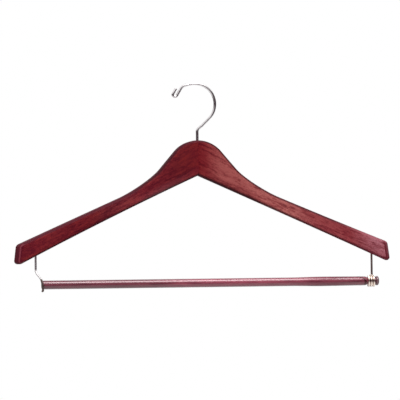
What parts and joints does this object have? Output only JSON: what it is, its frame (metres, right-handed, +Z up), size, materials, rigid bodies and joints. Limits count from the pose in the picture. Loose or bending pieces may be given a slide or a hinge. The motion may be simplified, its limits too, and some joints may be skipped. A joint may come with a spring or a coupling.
{
  "type": "wooden suit hanger",
  "caption": "Curved wooden suit hanger with a swivelling wire hook and a lacquered trouser bar that swings out on a coiled wire.",
  "frame": {"origin": "on the hook's swivel axis, at the underside of the hook's crown, where a rail carries the hanger", "axes": "+Z up along the swivel axis, +X towards the shoulder with the coiled wire, +Y away from the viewer; the arms bow towards -Y"},
  "size_m": [0.4464, 0.0592, 0.2471],
  "materials": {
    "stained_wood": "mahogany stain under satin lacquer",
    "beech": "bare",
    "nickel_plate": "bright nickel plate",
    "warm_plate": "warm bright plate",
    "nail_steel": "bare steel",
    "lacquered_bar": "glossy red-brown lacquer",
    "lacquered_knob": "dark glossy lacquer"
  },
  "bodies": {
    "hook": {"hook": "nickel_plate"},
    "shoulders": {"left_arm": "stained_wood", "right_arm": "stained_wood", "joint_dowel_upper": "beech", "joint_dowel_lower": "beech", "hook_pin": "nail_steel", "coil_wire_pin": "nail_steel", "left_catch_wire": "nickel_plate"},
    "coil_wire": {"right_coil_wire": "warm_plate"},
    "bar": {"trouser_bar": "lacquered_bar", "bar_knob": "lacquered_knob"}
  },
  "joints": [
    {"name": "hook_swivel", "type": "hinge", "parent": "hook", "child": "shoulders", "pos_m": [0, 0, -0.0662], "axis": [0, 0, 1], "continuous": true},
    {"name": "bar_swing", "type": "hinge", "parent": "shoulders", "child": "coil_wire", "pos_m": [0.2019, -0.03806, -0.23539], "axis": [0, 0, -1], "range_deg": [0, 180]},
    {"name": "bar_spin", "type": "hinge", "parent": "coil_wire", "child": "bar", "pos_m": [0.2031, -0.04406, -0.23539], "axis": [1, 0, 0], "continuous": true}
  ]
}
